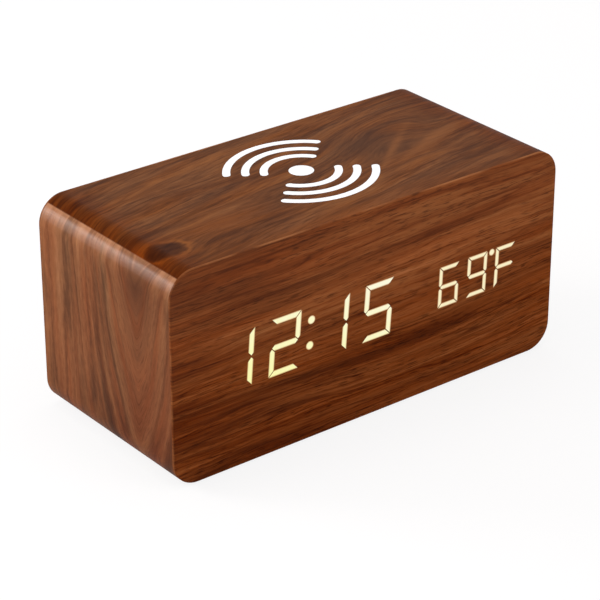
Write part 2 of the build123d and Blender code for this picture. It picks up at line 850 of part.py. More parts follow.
bead_depth = switch_board_rear + sensor_reach
with BuildPart() as temperature_sensor:
    with BuildSketch(upright(switch_board_rear, control_x + microphone_place, sensor_rise)):
        with GridLocations(2 * sensor_wire, 0, 2, 1):
            Rectangle(sensor_wire, sensor_wire)
    extrude(amount=-(bead_depth - switch_board_rear))
    with BuildSketch(upright(bead_depth - sensor_bead / 2, control_x + microphone_place, sensor_rise)):
        Circle(sensor_bead / 2)
    extrude(amount=-sensor_bead / 2)
save(temperature_sensor, "temperature_sensor")

upper_lead = [(52.0, switch_board_front, 31.0), (52.0, 13.0, 31.0), (17.0, 9.0, 20.0), (17.0, 9.0, board_top)]
lower_lead = [(52.0, switch_board_front, 27.5), (52.0, 12.0, 27.5), (17.0, 5.0, 18.0), (17.0, 5.0, board_top)]
with BuildPart() as power_leads:
    add_lead(upper_lead, power_lead_bend)
    add_lead(lower_lead, power_lead_bend)
save(power_leads, "power_leads")

# Flat cable between the display board and the switch board
cable_start = display_back + connector_depth
cable_end = switch_board_front - connector_depth
with BuildPart() as ribbon_connectors:
    with BuildSketch(upright(display_back, control_x)):
        Rectangle(connector_width, connector_height)
    extrude(amount=-connector_depth)
    with BuildSketch(upright(switch_board_front, control_x)):
        Rectangle(connector_width, connector_height)
    extrude(amount=connector_depth)
save(ribbon_connectors, "ribbon_connectors")

cable_low_start = cable_start + cable_straight + cable_slope
cable_low_end = cable_end - cable_straight - cable_slope
with BuildPart() as ribbon_cable:
    with BuildLine() as cable_route:
        FilletPolyline(
            (control_x, cable_start, middle),
            (control_x, cable_start + cable_straight, middle),
            (control_x, cable_low_start, middle - cable_sag),
            (control_x, cable_low_end, middle - cable_sag),
            (control_x, cable_end - cable_straight, middle),
            (control_x, cable_end, middle),
            radius=cable_bend,
        )
    with BuildSketch(upright(cable_start, control_x)) as cable_section:
        Rectangle(cable_width, cable_thickness)
    sweep(cable_section.sketch, path=cable_route.line)
save(ribbon_cable, "ribbon_cable")

# Battery box: three cradles behind a ledge for the door, with a flange inside the rear panel
bay_height = 3 * cell_pitch
with BuildPart() as battery_box:
    with BuildSketch(upright(rim_face, battery_x)):
        RectangleRounded(box_width, box_height, box_radius)
    extrude(amount=rim_face - box_back)
    with BuildSketch(upright(rear_inside, battery_x)):
        Rectangle(box_flange_width, box_flange_height)
        with Locations(*box_screw_places):
            Circle(pilot_radius, mode=Mode.SUBTRACT)
    extrude(amount=box_flange_thickness)
    with BuildSketch(upright(rim_face, battery_x)):
        Rectangle(door_width + 2 * door_gap, door_height + 2 * door_gap)
    extrude(amount=rim_face - ledge, mode=Mode.SUBTRACT)
    with BuildSketch(upright(ledge, battery_x)):
        Rectangle(bay_length, bay_height)
    extrude(amount=ledge - cell_axis, mode=Mode.SUBTRACT)
    with BuildSketch(endways(battery_x - bay_length / 2, cell_axis, middle)):
        with GridLocations(0, cell_pitch, 1, 3):
            Circle(bay_radius)
    extrude(amount=bay_length, mode=Mode.SUBTRACT)
    with BuildSketch(endways(battery_x, hinge_y, middle + hinge_rise)):
        Circle(hinge_pin_diameter / 2 + hinge_clearance)
    extrude(amount=door_width / 2 + hinge_pin_length + door_gap, both=True, mode=Mode.SUBTRACT)
    with BuildSketch(upright(rim_face, battery_x)):
        with Locations((0, box_height / 2)):
            Rectangle(latch_width + 4 * door_gap, box_height - door_height)
    extrude(amount=rim_face - ledge, mode=Mode.SUBTRACT)
save(battery_box, "battery_box")

with BuildPart() as battery_door:
    with BuildSketch(upright(door_face, battery_x)):
        Rectangle(door_width, door_height)
    extrude(amount=door_thickness)
    lower_edges = battery_door.edges().filter_by(Axis.X).group_by(Axis.Z)[0]
    fillet(lower_edges, radius=door_thickness / 2 - hinge_clearance)
    with BuildSketch(upright(door_face, battery_x)):
        with Locations((0, door_height / 2 + latch_height / 2)):
            Rectangle(latch_width, latch_height)
    extrude(amount=door_thickness)
    with BuildSketch(endways(battery_x, hinge_y, middle + hinge_rise)):
        Circle(hinge_pin_diameter / 2)
    extrude(amount=door_width / 2 + hinge_pin_length, both=True)
    with BuildSketch(upright(door_face, battery_x, door_height / 2 - thumb_height)):
        SlotOverall(thumb_width, thumb_height)
    extrude(amount=thumb_depth, mode=Mode.SUBTRACT)
save(battery_door, "battery_door")

# Contacts: a plate at each positive end and a bowed leaf at each negative end, cells set head to tail
bay_ends = (battery_x - bay_length / 2, battery_x + bay_length / 2)
cell_rises = [middle + cell_pitch * row for row in (-1, 0, 1)]
plate_ends = (1, 0, 1)
with BuildPart() as contact_plates:
    for cell_rise, end in zip(cell_rises, plate_ends):
        inward = 1 if end == 0 else -1
        with BuildSketch(endways(bay_ends[end], cell_axis, cell_rise)):
            Rectangle(contact_size, contact_size)
        extrude(amount=inward * contact_thickness)
save(contact_plates, "contact_plates")

with BuildPart() as contact_springs:
    for cell_rise, end in zip(cell_rises, plate_ends):
        spring_end = 1 - end
        inward = 1 if spring_end == 0 else -1
        foot_x = bay_ends[spring_end]
        with BuildSketch(Plane.XY.offset(cell_rise - contact_size / 2)):
            with BuildLine():
                near = (foot_x, cell_axis - contact_size / 2)
                far = (foot_x, cell_axis + contact_size / 2)
                inner_near = (foot_x, near[1] + contact_thickness)
                inner_far = (foot_x, far[1] - contact_thickness)
                crown = (foot_x + inward * spring_bow, cell_axis)
                inner_crown = (foot_x + inward * (spring_bow - contact_thickness), cell_axis)
                ThreePointArc(near, crown, far)
                ThreePointArc(inner_near, inner_crown, inner_far)
                Line(near, inner_near)
                Line(far, inner_far)
            make_face()
        extrude(amount=contact_size)
save(contact_springs, "contact_springs")

with BuildPart() as box_screws:
    box_screw_seat = upright(rear_inside - box_flange_thickness, battery_x)
    add_screws(box_screw_seat, box_screw_places, screw_head_height, -box_screw_length)
save(box_screws, "box_screws")

box_side = battery_x + box_width / 2
plus_lead = [(box_side, 21.0, 26.0), (11.0, 21.0, 26.0), (11.0, 8.0, 20.0), (11.0, 8.0, board_top)]
minus_lead = [(box_side, 21.0, 22.5), (7.0, 21.0, 22.5), (7.0, 8.0, 18.0), (7.0, 8.0, board_top)]
with BuildPart() as battery_leads:
    add_lead(plus_lead, battery_lead_bend)
    add_lead(minus_lead, battery_lead_bend)
save(battery_leads, "battery_leads")
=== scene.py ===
import json
import math
import bpy
import numpy as np
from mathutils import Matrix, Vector


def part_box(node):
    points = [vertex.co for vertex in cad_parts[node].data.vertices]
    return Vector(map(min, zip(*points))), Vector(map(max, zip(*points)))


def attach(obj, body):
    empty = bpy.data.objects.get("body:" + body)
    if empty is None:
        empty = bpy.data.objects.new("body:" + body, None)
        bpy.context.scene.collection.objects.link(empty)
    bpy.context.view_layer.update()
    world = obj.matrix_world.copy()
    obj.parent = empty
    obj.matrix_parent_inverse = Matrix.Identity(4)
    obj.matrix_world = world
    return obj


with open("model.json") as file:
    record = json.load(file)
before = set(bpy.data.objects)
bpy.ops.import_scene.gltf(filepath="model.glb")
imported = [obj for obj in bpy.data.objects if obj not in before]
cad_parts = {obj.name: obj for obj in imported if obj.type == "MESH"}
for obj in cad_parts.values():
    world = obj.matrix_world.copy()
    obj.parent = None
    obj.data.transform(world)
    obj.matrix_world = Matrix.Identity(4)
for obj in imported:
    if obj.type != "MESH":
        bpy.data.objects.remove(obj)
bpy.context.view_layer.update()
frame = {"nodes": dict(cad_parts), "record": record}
mm = 0.001
nodes = frame["nodes"]
slotOf = {part["node"]: part["material_slot"] for part in frame["record"]["subparts"]}
scene = bpy.context.scene
scene.view_settings.view_transform = "Standard"
print("frame loaded:", len(nodes), "nodes")


# camera, millimetres and degrees; nothing nearer than near or beyond far, in metres, is drawn
cameraSet = {"lens": 147.43, "sensor": 36.0, "azimuth": -38.305, "elevation": 26.748,
             "distance": 773.844, "target": (-1.354, 0.0, 26.822), "near": 0.01, "far": 50.0}


def placeCamera(s):
    # the camera stands back from its target along the direction of azimuth and elevation
    turn, rise = math.radians(s["azimuth"]), math.radians(s["elevation"])
    back = Vector((math.sin(turn) * math.cos(rise), -math.cos(turn) * math.cos(rise), math.sin(rise)))
    lens = bpy.data.cameras.new("camera")
    lens.lens, lens.sensor_width = s["lens"], s["sensor"]
    lens.clip_start, lens.clip_end = s["near"], s["far"]
    camera = bpy.data.objects.new("camera", lens)
    camera.location = (Vector(s["target"]) + back * s["distance"]) * mm
    camera.rotation_euler = (-back).to_track_quat("-Z", "Y").to_euler()
    scene.collection.objects.link(camera)
    scene.camera = camera


placeCamera(cameraSet)


# soft boxes: place and aim in metres, level is the brightness of the cloth
lightSet = {
    "topBox": {"place": (0.10, 0.10, 1.40), "aim": (0.0, 0.0, 0.04), "size": (1.2, 1.2), "level": 1.0},
    "leftBox": {"place": (-0.46, 0.20, 0.42), "aim": (-0.04, 0.0, 0.04), "size": (0.36, 0.36), "level": 2.0},
    "stripHigh": {"place": (-0.80, 0.95, 0.53), "aim": (-0.07, 0.0, 0.07), "size": (0.50, 0.20), "level": 16.0},
    "stripMiddle": {"place": (-0.80, 0.95, 0.33), "aim": (-0.07, 0.0, 0.07), "size": (0.50, 0.20), "level": 9.0},
    "stripLow": {"place": (-0.80, 0.95, 0.13), "aim": (-0.07, 0.0, 0.07), "size": (0.50, 0.20), "level": 4.0},
    "frontBox": {"place": (0.60, -1.40, 0.75), "aim": (0.02, 0.0, 0.04), "size": (1.1, 0.9), "level": 2.2},
}
# room: ambient lights the object, and where the room is seen, white falls to ceiling over the sweep
roomSet = {"ambient": 0.52, "white": 1.0, "ceiling": 0.25, "sweep": (0.42, 0.60), "colour": (1.0, 1.0, 1.0, 1.0),
           "floorColour": (0.94, 0.89, 0.89, 1.0), "floorHaze": 0.84, "floorSize": 8.0}


def hangLights(boxes):
    # a box of 4 * area watts has a brightness of 1
    for name, s in boxes.items():
        lamp = bpy.data.lights.new(name, "AREA")
        lamp.shape = "RECTANGLE"
        lamp.size, lamp.size_y = s["size"]
        lamp.energy = 4.0 * s["size"][0] * s["size"][1] * s["level"]
        box = bpy.data.objects.new(name, lamp)
        box.location = s["place"]
        box.rotation_euler = (Vector(s["aim"]) - Vector(s["place"])).to_track_quat("-Z", "Y").to_euler()
        box.visible_camera = False
        scene.collection.objects.link(box)


def seenRay(tree):
    # 1 for rays from the camera, off gloss or through glass, 0 for the rest
    path = tree.nodes.new("ShaderNodeLightPath")
    total = path.outputs["Is Camera Ray"]
    for kind in ("Is Glossy Ray", "Is Transmission Ray"):
        step = tree.nodes.new("ShaderNodeMath")
        step.operation = "MAXIMUM"
        tree.links.new(total, step.inputs[0])
        tree.links.new(path.outputs[kind], step.inputs[1])
        total = step.outputs[0]
    return total


def paintRoom(s):
    # soft light for the object; where the room is seen, a white sweep that darkens towards the ceiling
    world = bpy.data.worlds.new("room")
    world.use_nodes = True
    tree = world.node_tree
    soft = tree.nodes["Background"]
    soft.inputs["Strength"].default_value = s["ambient"]
    soft.inputs["Color"].default_value = s["colour"]
    white = tree.nodes.new("ShaderNodeBackground")
    white.inputs["Color"].default_value = s["colour"]
    coords = tree.nodes.new("ShaderNodeTexCoord")
    split = tree.nodes.new("ShaderNodeSeparateXYZ")
    rise = tree.nodes.new("ShaderNodeMapRange")
    for socket, number in zip(rise.inputs[1:5], (*s["sweep"], s["white"], s["ceiling"])):
        socket.default_value = number
    tree.links.new(coords.outputs["Generated"], split.inputs[0])
    tree.links.new(split.outputs[2], rise.inputs[0])
    tree.links.new(rise.outputs[0], white.inputs["Strength"])
    mix = tree.nodes.new("ShaderNodeMixShader")
    tree.links.new(seenRay(tree), mix.inputs[0])
    tree.links.new(soft.outputs[0], mix.inputs[1])
    tree.links.new(white.outputs[0], mix.inputs[2])
    tree.links.new(mix.outputs[0], tree.nodes["World Output"].inputs["Surface"])
    scene.world = world


def layFloor(s):
    # a flat sheet; a share of plain white over its lit colour keeps the shadow faint
    half = s["floorSize"] / 2
    corners = [(-half, -half, 0), (half, -half, 0), (half, half, 0), (-half, half, 0)]
    mesh = bpy.data.meshes.new("studioFloor")
    mesh.from_pydata(corners, [], [(0, 1, 2, 3)])
    floor = bpy.data.objects.new("studioFloor", mesh)
    scene.collection.objects.link(floor)
    material = bpy.data.materials.new("studioPaper")
    material.use_nodes = True
    tree = material.node_tree
    paper = tree.nodes["Principled BSDF"]
    paper.inputs["Base Color"].default_value = s["floorColour"]
    paper.inputs["Roughness"].default_value = 1.0
    paper.inputs["Specular IOR Level"].default_value = 0.0
    glow = tree.nodes.new("ShaderNodeEmission")
    glow.inputs["Strength"].default_value = s["white"]
    share = tree.nodes.new("ShaderNodeMath")
    share.operation = "MULTIPLY"
    share.inputs[1].default_value = s["floorHaze"]
    mix = tree.nodes.new("ShaderNodeMixShader")
    tree.links.new(seenRay(tree), share.inputs[0])
    tree.links.new(share.outputs[0], mix.inputs[0])
    tree.links.new(paper.outputs[0], mix.inputs[1])
    tree.links.new(glow.outputs[0], mix.inputs[2])
    tree.links.new(mix.outputs[0], tree.nodes["Material Output"].inputs["Surface"])
    mesh.materials.append(material)


hangLights(lightSet)
paintRoom(roomSet)
layFloor(roomSet)
print("camera, soft boxes and floor placed")


class finishTree:
    # the node tree of one finish, with a short call for each kind of node
    def __init__(self, name):
        self.material = bpy.data.materials.new(name)
        self.material.use_nodes = True
        self.tree = self.material.node_tree
        self.shader = self.tree.nodes["Principled BSDF"]

    def feed(self, socket, value):
        if isinstance(value, bpy.types.NodeSocket):
            self.tree.links.new(value, socket)
        else:
            socket.default_value = value

    def give(self, name, value):
        # feeds a socket of the shader itself
        self.feed(self.shader.inputs[name], value)

    def work(self, operation, *values):
        node = self.tree.nodes.new("ShaderNodeMath")
        node.operation = operation
        for socket, value in zip(node.inputs, values):
            self.feed(socket, value)
        return node.outputs[0]

    def fold(self, operation, values):
        # one operation over a list, from its first value on
        total = values[0]
        for value in values[1:]:
            total = self.work(operation, total, value)
        return total

    def place(self):
        # x, y and z on the object, in millimetres
        coords = self.tree.nodes.new("ShaderNodeTexCoord")
        split = self.tree.nodes.new("ShaderNodeSeparateXYZ")
        self.tree.links.new(coords.outputs["Object"], split.inputs[0])
        return [self.work("MULTIPLY", split.outputs[i], 1.0 / mm) for i in range(3)]

    def point(self, x, y, z):
        node = self.tree.nodes.new("ShaderNodeCombineXYZ")
        for socket, value in zip(node.inputs, (x, y, z)):
            self.feed(socket, value)
        return node.outputs[0]

    def cloud(self, vector, detail, roughness=0.5):
        node = self.tree.nodes.new("ShaderNodeTexNoise")
        self.tree.links.new(vector, node.inputs["Vector"])
        node.inputs["Scale"].default_value = 1.0
        node.inputs["Detail"].default_value = detail
        node.inputs["Roughness"].default_value = roughness
        return node.outputs["Fac"]

    def drawn(self, along, across, long, wide, seed, detail=2.0, roughness=0.5):
        # noise drawn out to long by wide millimetres
        return self.cloud(self.point(self.work("DIVIDE", along, long), self.work("DIVIDE", across, wide), seed),
                          detail, roughness)

    def speckle(self, place, size, detail=2.0):
        # noise of even grain, size in millimetres
        return self.cloud(self.point(*(self.work("DIVIDE", c, size) for c in place)), detail)

    def swing(self, noise):
        # noise less its middle value of one half
        return self.work("SUBTRACT", noise, 0.5)

    def ramp(self, factor, stops):
        node = self.tree.nodes.new("ShaderNodeValToRGB")
        self.feed(node.inputs[0], factor)
        band = node.color_ramp
        while len(band.elements) < len(stops):
            band.elements.new(0.5)
        for element, (position, colour) in zip(band.elements, stops):
            element.position, element.color = position, (*colour, 1.0)
        return node.outputs["Color"]

    def mixed(self, kind, factor, under, over):
        node = self.tree.nodes.new("ShaderNodeMix")
        node.data_type, node.blend_type = "RGBA", kind
        self.feed(node.inputs[0], factor)
        for socket, value in ((node.inputs[6], under), (node.inputs[7], over)):
            self.feed(socket, value if isinstance(value, bpy.types.NodeSocket) else (*value, 1.0))
        return node.outputs[2]

    def turned(self, colour, hue, saturation):
        # a hue of 0.5 and a saturation of 1 leave the colour as it is
        node = self.tree.nodes.new("ShaderNodeHueSaturation")
        for name, value in (("Color", colour), ("Hue", hue), ("Saturation", saturation)):
            self.feed(node.inputs[name], value)
        return node.outputs[0]

    def spread(self, value, low, high, outLow, outHigh):
        node = self.tree.nodes.new("ShaderNodeMapRange")
        for socket, number in zip(node.inputs, (value, low, high, outLow, outHigh)):
            self.feed(socket, number)
        return node.outputs[0]

    def bump(self, height, distance, strength):
        node = self.tree.nodes.new("ShaderNodeBump")
        node.inputs["Strength"].default_value = strength
        node.inputs["Distance"].default_value = distance * mm
        self.tree.links.new(height, node.inputs["Height"])
        self.tree.links.new(node.outputs[0], self.shader.inputs["Normal"])

    def spot(self, along, across, s):
        # a soft round spot, long by wide: exp of minus the squared distance
        a = self.work("DIVIDE", self.work("SUBTRACT", along, s["at"][0]), s["long"])
        b = self.work("SUBTRACT", across, s["at"][1])
        if "lean" in s:
            b = self.work("SUBTRACT", b, self.work("MULTIPLY", self.work("SUBTRACT", along, s["at"][0]), s["lean"]))
        b = self.work("DIVIDE", b, s["wide"])
        far = self.work("ADD", self.work("MULTIPLY", a, a), self.work("MULTIPLY", b, b))
        return self.work("EXPONENT", self.work("MULTIPLY", far, -1.0))


# walnut film: what all its looks share, and the steps that keep the noises of a look apart
walnutPores = {"long": 4.6, "wide": 0.40, "from": 0.53, "to": 0.66, "patch": (34.0, 5.0),
               "detail": 1.0, "patchSpread": (0.35, 0.6, 0.35, 1.0), "colour": (0.25, 0.2, 0.18)}
grainSet = {"waveDetail": 1.0, "streakRough": 0.55, "veinDetail": 1.0, "veinPatch": (30.0, 6.0),
            "rosyRange": (0.3, 0.7)}
seedStep = {"layer": 5.0, "vein": 22.0, "veinPatch": 26.0, "pore": 30.0, "porePatch": 40.0, "knotEdge": 50.0,
            "knotRim": 52.0, "knotCore": 54.0, "wave": 60.0, "paintedEdgeHighlight": 70.0, "rosy": 80.0}
# looks of the front, the top, the ends and the back, millimetres along and across the grain: waves are
# (long, wide, rise), layers (long, wide, detail, weight), veins (long, wide, width, depth),
# rosy (long, wide, turn of hue, greying) and paintedShading (middle, rise across, rise along), painted light
# and shade that makes the tone rise across and along the face; a dark spot of negative depth is paler
frontLook = {
    "seed": 3.1, "slope": 0.02, "waves": [(140.0, 34.0, 9.0), (34.0, 9.0, 2.2), (9.0, 3.0, 0.5)],
    # the tone rise here is painted light: the front grows brighter towards the top and towards the right
    "paintedShading": (35.0, 0.0012, 0.0010), "pores": 0.74, "rosy": (60.0, 4.0, 0.0030, 0.015),
    "hills": [{"at": (28.0, 22.0), "long": 42.0, "wide": 16.0, "lift": 4.0}],
    "layers": [(110.0, 10.0, 2.0, 0.78), (60.0, 2.2, 3.0, 0.73), (20.0, 0.60, 2.0, 0.42)],
    # painted reflection: a pale grey-brown mixed in more towards the top of the front
    "paintedReflectionAndTint": {"from": 24.0, "to": 62.0, "colour": (0.15, 0.082, 0.050), "share": 0.13},
    # painted highlight: a paler orange line along the panel's outer edge, strongest at the top
    "paintedEdgeHighlight": {"from": 33.98, "to": 33.80, "colour": (0.31, 0.116, 0.042), "patch": (20.0, 6.0), "detail": 3.0,
             "breaks": (0.40, 0.60, 0.15, 1.0), "rise": (67.0, 69.5), "sideShare": 0.34, "topShare": 0.80},
    "veins": (60.0, 3.4, 0.032, 0.34),
    "tones": [(0.0, (0.034, 0.006, 0.0010)), (0.30, (0.090, 0.017, 0.0026)), (0.52, (0.170, 0.040, 0.0072)),
              (0.74, (0.246, 0.072, 0.0180)), (1.0, (0.350, 0.125, 0.0400))],
    "darkSpots": [{"at": (28.0, 21.5), "long": 40.0, "wide": 1.8, "depth": 0.22},
                  {"at": (-45.0, 55.0), "long": 30.0, "wide": 8.0, "depth": 0.10},
                  {"at": (2.0, 45.0), "long": 55.0, "wide": 12.0, "depth": -0.17},
                  {"at": (-48.0, 12.0), "long": 40.0, "wide": 13.0, "depth": 0.09}],
}
topLook = {
    "seed": 8.4, "slope": 0.17, "waves": [(70.0, 24.0, 9.0), (24.0, 8.0, 2.6), (8.0, 3.0, 0.6)],
    "paintedShading": (0.0, 0.0, 0.0), "pores": 0.35, "rosy": (40.0, 5.0, 0.0024, 0.035),
    "hills": [{"at": (-65.0, -19.5), "long": 14.0, "wide": 7.5, "part": 0.85},
              {"at": (38.0, 10.0), "long": 26.0, "wide": 13.0, "lift": -10.0, "lean": 0.4}],
    "layers": [(80.0, 7.0, 2.0, 0.62), (30.0, 2.6, 3.0, 0.68), (7.0, 0.80, 2.0, 0.48)],
    "veins": (48.0, 4.6, 0.040, 0.24),
    "tones": [(0.0, (0.034, 0.0092, 0.0025)), (0.30, (0.080, 0.0233, 0.0061)), (0.52, (0.140, 0.0435, 0.0110)),
              (0.74, (0.205, 0.0685, 0.0175)), (1.0, (0.290, 0.1070, 0.0300))],
    "darkSpots": [{"at": (-73.0, 0.0), "long": 9.0, "wide": 90.0, "depth": 0.14},
                  {"at": (27.0, 4.5), "long": 12.0, "wide": 8.5, "depth": 0.20},
                  {"at": (0.0, -32.0), "long": 140.0, "wide": 7.0, "depth": 0.12},
                  {"at": (60.0, 24.0), "long": 14.0, "wide": 9.0, "depth": 0.12},
                  {"at": (55.0, -14.0), "long": 9.0, "wide": 4.0, "depth": 0.10}],
    "warmSpots": [{"at": (-41.0, -14.5), "long": 16.0, "wide": 4.5, "depth": 0.55},
                  {"at": (-14.0, -32.0), "long": 17.0, "wide": 2.4, "depth": 0.50},
                  {"at": (29.0, 5.0), "long": 14.0, "wide": 9.0, "depth": 0.40, "colour": (0.082, 0.036, 0.018)},
                  {"at": (34.0, -2.6), "long": 13.0, "wide": 1.9, "lean": 0.76, "depth": 0.50,
                   "colour": (0.26, 0.088, 0.024)},
                  {"at": (45.0, -5.6), "long": 14.0, "wide": 2.1, "lean": 0.37, "depth": 0.50,
                   "colour": (0.26, 0.088, 0.024)},
                  {"at": (-62.0, -25.6), "long": 10.0, "wide": 1.3, "lean": 0.12, "depth": 0.45},
                  {"at": (-71.0, -13.0), "long": 4.0, "wide": 4.0, "depth": 0.55},
                  {"at": (0.0, -36.0), "long": 120.0, "wide": 8.0, "depth": 0.40}],
    "knots": [{"at": (-66.0, -18.9), "long": 7.4, "wide": 5.3, "lean": -0.1, "core": (0.040, 0.0105, 0.0022),
               "rim": (0.24, 0.072, 0.013), "rimShare": 0.75}],
    "warm": (0.200, 0.054, 0.009),
}
endLook = {
    "seed": 14.9, "slope": 0.0, "waves": [(60.0, 16.0, 5.0), (22.0, 7.0, 1.6), (5.0, 2.0, 0.5)],
    "paintedShading": (0.0, 0.0028, 0.0), "pores": 0.32, "rosy": (60.0, 4.5, 0.0060, 0.04),
    "flame": {"at": (-121.8, -16.5), "nose": 0.9, "lean": 0.42, "reach": 24.0},
    "layers": [(110.0, 12.0, 1.0, 0.65), (40.0, 6.0, 2.0, 0.65), (3.0, 1.20, 2.0, 0.38), (80.0, 1.9, 3.0, 0.58)],
    "veins": (110.0, 12.0, 0.050, 0.45),
    "tones": [(0.0, (0.056, 0.0187, 0.0066)), (0.30, (0.119, 0.0407, 0.0143)), (0.52, (0.188, 0.0670, 0.0240)),
              (0.74, (0.253, 0.0955, 0.0362)), (1.0, (0.337, 0.1390, 0.0580))],
    "darkSpots": [{"at": (-82.0, -17.0), "long": 7.0, "wide": 8.0, "depth": 0.20},
                  {"at": (-98.0, -17.5), "long": 40.0, "wide": 7.5, "depth": 0.11},
                  {"at": (-100.0, -31.5), "long": 60.0, "wide": 5.5, "depth": -0.08}],
    "calmSpots": [{"at": (-92.0, -16.5), "long": 20.0, "wide": 8.0, "depth": 0.80}],
    "warmSpots": [{"at": (-122.0, -24.0), "long": 18.0, "wide": 12.0, "depth": 0.35},
                  {"at": (-98.0, -35.0), "long": 22.0, "wide": 6.0, "depth": 0.35}],
    "warm": (0.225, 0.062, 0.019),
}
backLook = dict(frontLook, seed=21.7, slope=-0.02, hills=[], darkSpots=[], paintedShading=(35.0, 0.0, 0.0),
                paintedReflectionAndTint={"from": -1.0, "to": 0.0, "colour": (0.085, 0.040, 0.022), "share": 0.38})


def grainHeight(t, along, across, look):
    # across - slope * along + waves of several sizes + hills, and partings where the grain flows round a knot;
    # a flame takes the distance from its axis instead of across, less a lean that fades away from the axis,
    # so the lines near the axis close to a point
    height = across
    if "flame" in look:
        s = look["flame"]
        off = t.work("SUBTRACT", across, s["at"][1])
        square = t.work("MULTIPLY", off, off)
        near = t.work("EXPONENT", t.work("DIVIDE", square, -s["reach"] ** 2))
        lift = t.work("MULTIPLY", t.work("SUBTRACT", along, s["at"][0]), s["lean"])
        height = t.work("SUBTRACT", t.work("SQRT", t.work("ADD", square, s["nose"] ** 2)),
                        t.work("MULTIPLY", lift, near))
    height = t.work("MULTIPLY_ADD", along, -look["slope"], height)
    for number, (long, wide, rise) in enumerate(look["waves"]):
        seed = look["seed"] + seedStep["wave"] + number
        wave = t.swing(t.drawn(along, across, long, wide, seed, grainSet["waveDetail"]))
        height = t.work("MULTIPLY_ADD", wave, rise, height)
    for hill in look.get("hills", []):
        spot = t.spot(along, across, hill)
        if "lift" in hill:
            height = t.work("MULTIPLY_ADD", spot, hill["lift"], height)
        if "part" in hill:
            off = t.work("SUBTRACT", across, hill["at"][1])
            height = t.work("MULTIPLY_ADD", t.work("MULTIPLY", spot, off), -hill["part"], height)
    return height


def grainTone(t, along, across, height, look):
    # streaks are noise drawn out along lines of equal height; veins are thin dark lines where a noise is near half
    seed = look["seed"]
    middle, riseAcross, riseAlong = look["paintedShading"]
    tone = t.work("MULTIPLY_ADD", t.work("SUBTRACT", across, middle), riseAcross, 0.5)
    tone = t.work("MULTIPLY_ADD", along, riseAlong, tone)
    for number, (long, wide, detail, weight) in enumerate(look["layers"]):
        streak = t.drawn(along, height, long, wide, seed + seedStep["layer"] * number, detail, grainSet["streakRough"])
        tone = t.work("MULTIPLY_ADD", t.swing(streak), weight, tone)
    long, wide, width, depth = look["veins"]
    vein = t.drawn(along, height, long, wide, seed + seedStep["vein"], grainSet["veinDetail"])
    vein = t.spread(t.work("ABSOLUTE", t.swing(vein)), 0.0, width, depth, 0.0)
    patch = t.drawn(along, height, *grainSet["veinPatch"], seed + seedStep["veinPatch"])
    tone = t.work("SUBTRACT", tone, t.work("MULTIPLY", vein, patch))
    for calm in look.get("calmSpots", []):
        share = t.work("MULTIPLY", t.spot(along, across, calm), calm["depth"])
        tone = t.work("MULTIPLY_ADD", t.work("SUBTRACT", 0.5, tone), share, tone)
    for dark in look["darkSpots"]:
        tone = t.work("MULTIPLY_ADD", t.spot(along, across, dark), -dark["depth"], tone)
    return tone


# knots: nearness to the middle, made ragged, gives a broken rim from rimOuter to rimInner and a streaked core
knotSet = {"edge": (5.0, 2.5), "edgeShare": 0.4, "rimPatch": (6.0, 6.0), "rimBreaks": (0.38, 0.58, 0.35),
           "rimOuter": (0.18, 0.33), "rimInner": (0.36, 0.50), "coreEdge": (0.34, 0.62), "coreStreak": (9.0, 1.4),
           "coreSpread": (0.35, 0.65, 0.62, 0.92), "detail": 3.0}


def drawKnot(t, colour, along, across, seed, knot, s):
    ragged = t.drawn(along, across, *s["edge"], seed + seedStep["knotEdge"], s["detail"])
    ragged = t.work("MULTIPLY_ADD", t.swing(ragged), s["edgeShare"], t.spot(along, across, knot))
    broken = t.drawn(along, across, *s["rimPatch"], seed + seedStep["knotRim"])
    broken = t.spread(broken, *s["rimBreaks"], knot["rimShare"])
    rim = t.work("MULTIPLY", t.spread(ragged, *s["rimOuter"], 0.0, 1.0), t.spread(ragged, *s["rimInner"], 1.0, 0.0))
    colour = t.mixed("MIX", t.work("MULTIPLY", rim, broken), colour, knot["rim"])
    streaked = t.drawn(along, across, *s["coreStreak"], seed + seedStep["knotCore"], s["detail"])
    core = t.work("MULTIPLY", t.spread(ragged, *s["coreEdge"], 0.0, 1.0), t.spread(streaked, *s["coreSpread"]))
    return t.mixed("MIX", core, colour, knot["core"])


def drawRosy(t, colour, along, height, look):
    # streaks that turn redder and fuller or yellower and greyer, whatever their tone
    long, wide, turn, grey = look["rosy"]
    rosy = t.drawn(along, height, long, wide, look["seed"] + seedStep["rosy"])
    hue = t.spread(rosy, *grainSet["rosyRange"], 0.5 - turn, 0.5 + turn)
    return t.turned(colour, hue, t.spread(rosy, *grainSet["rosyRange"], 1.0 + grey, 1.0 - grey))


def drawPores(t, along, height, look, s):
    # short dark dashes along the grain, in patches
    fine = t.drawn(along, height, s["long"], s["wide"], look["seed"] + seedStep["pore"], s["detail"])
    patch = t.drawn(along, height, *s["patch"], look["seed"] + seedStep["porePatch"])
    return t.work("MULTIPLY", t.spread(fine, s["from"], s["to"], 0.0, look["pores"]),
                  t.spread(patch, *s["patchSpread"]))


def walnutColour(t, along, across, look):
    # tone to colour, then rosy streaks, warm patches, knots and pores
    height = grainHeight(t, along, across, look)
    tone = grainTone(t, along, across, height, look)
    colour = drawRosy(t, t.ramp(tone, look["tones"]), along, height, look)
    for warm in look.get("warmSpots", []):
        share = t.work("MULTIPLY", t.spot(along, across, warm), warm["depth"])
        colour = t.mixed("MIX", share, colour, warm.get("colour", look["warm"]))
    for knot in look.get("knots", []):
        colour = drawKnot(t, colour, along, across, look["seed"], knot, knotSet)
    pores = drawPores(t, along, height, look, walnutPores)
    return t.mixed("MULTIPLY", pores, colour, walnutPores["colour"]), tone, pores


# satin lacquer: rough from dark to pale grain, a thin clear coat, and how far the pores are sunk, mm
lacquerSet = {"rough": (0.58, 0.44), "panelCoat": 0.04, "sleeveCoat": 0.15, "coatRough": 0.22,
              "sunk": 0.02, "sunkShare": 0.5}


